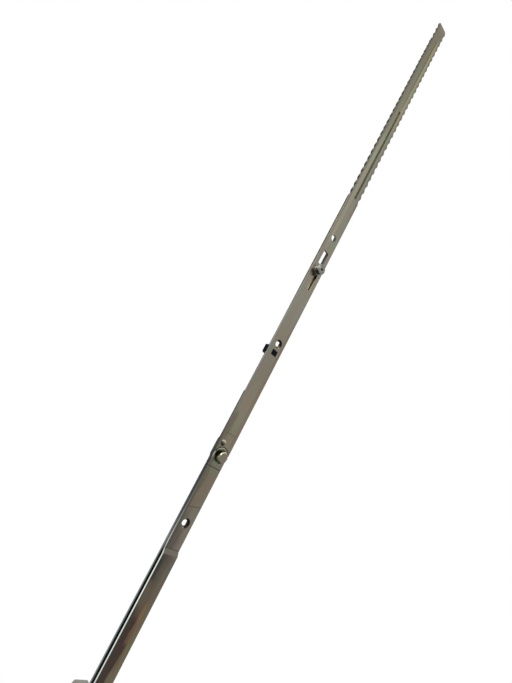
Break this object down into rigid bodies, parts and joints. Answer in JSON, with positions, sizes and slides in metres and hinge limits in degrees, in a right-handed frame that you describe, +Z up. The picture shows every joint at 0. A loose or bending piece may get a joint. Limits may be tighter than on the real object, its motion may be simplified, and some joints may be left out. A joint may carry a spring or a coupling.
{
  "type": "window edge gearbox",
  "caption": "Long sash-edge gear for a tilt-and-turn window: toothed faceplate strip, sliding drive rod with rack, square-spindle gear case, eccentric roller cams and plastic guides.",
  "frame": {"origin": "middle of the two handle screw holes, on the handle spindle's axis", "axes": "+Z up the sash edge towards the toothed end, +X out of the sash edge (the way the locking cams stick out), +Y to the right for someone facing the faceplate, along the spindle"},
  "size_m": [0.036, 0.0204, 1.15],
  "materials": {
    "passivated_steel": "zinc plated, thick-film passivated, satin with faint iridescence",
    "plated_pin_steel": "bright zinc plated, satin",
    "cast_case": "zinc die-casting, matt",
    "black_plastic": "moulded, fine matt"
  },
  "bodies": {
    "housing": {"upper_faceplate": "passivated_steel", "main_faceplate": "passivated_steel", "joint_plate": "passivated_steel", "locating_stud": "passivated_steel", "domed_rivet": "passivated_steel", "upper_rod_guide": "black_plastic", "lower_rod_guide": "black_plastic", "case_left_half": "cast_case", "case_right_half": "cast_case", "case_rivets": "passivated_steel", "shell_rivets": "passivated_steel", "handle_screw_bushes": "plated_pin_steel"},
    "drive_rod": {"upper_drive_rod": "passivated_steel", "main_drive_rod": "passivated_steel", "rod_splice_plate": "passivated_steel", "rod_splice_rivets": "passivated_steel", "upper_cam_base": "plated_pin_steel", "lower_cam_base": "plated_pin_steel"},
    "follower": {"follower": "cast_case"},
    "upper_pin": {"upper_cam_pin": "plated_pin_steel"},
    "upper_roller": {"upper_cam_roller": "plated_pin_steel"},
    "lower_pin": {"lower_cam_pin": "plated_pin_steel"},
    "lower_roller": {"lower_cam_roller": "plated_pin_steel"}
  },
  "joints": [
    {"name": "follower_turn", "type": "hinge", "parent": "housing", "child": "follower", "pos_m": [0, 0, 0], "axis": [0, -1, 0], "range_deg": [-90, 90]},
    {"name": "rod_slide", "type": "slide", "parent": "housing", "child": "drive_rod", "axis": [0, 0, 1], "range_m": [-0.018, 0.018]},
    {"name": "upper_cam_adjust", "type": "hinge", "parent": "drive_rod", "child": "upper_pin", "pos_m": [0.012, 0, 0.462], "axis": [1, 0, 0], "range_deg": [-90, 90]},
    {"name": "upper_roller_spin", "type": "hinge", "parent": "upper_pin", "child": "upper_roller", "pos_m": [0.01885, 0, 0.4628], "axis": [1, 0, 0], "continuous": true},
    {"name": "lower_cam_adjust", "type": "hinge", "parent": "drive_rod", "child": "lower_pin", "pos_m": [0.012, 0, -0.18], "axis": [1, 0, 0], "range_deg": [-90, 90]},
    {"name": "lower_roller_spin", "type": "hinge", "parent": "lower_pin", "child": "lower_roller", "pos_m": [0.01885, 0, -0.1792], "axis": [1, 0, 0], "continuous": true}
  ],
  "couplings": [
    {"joint": "follower_turn", "follows": "rod_slide", "rad_per_m": 87.266}
  ]
}
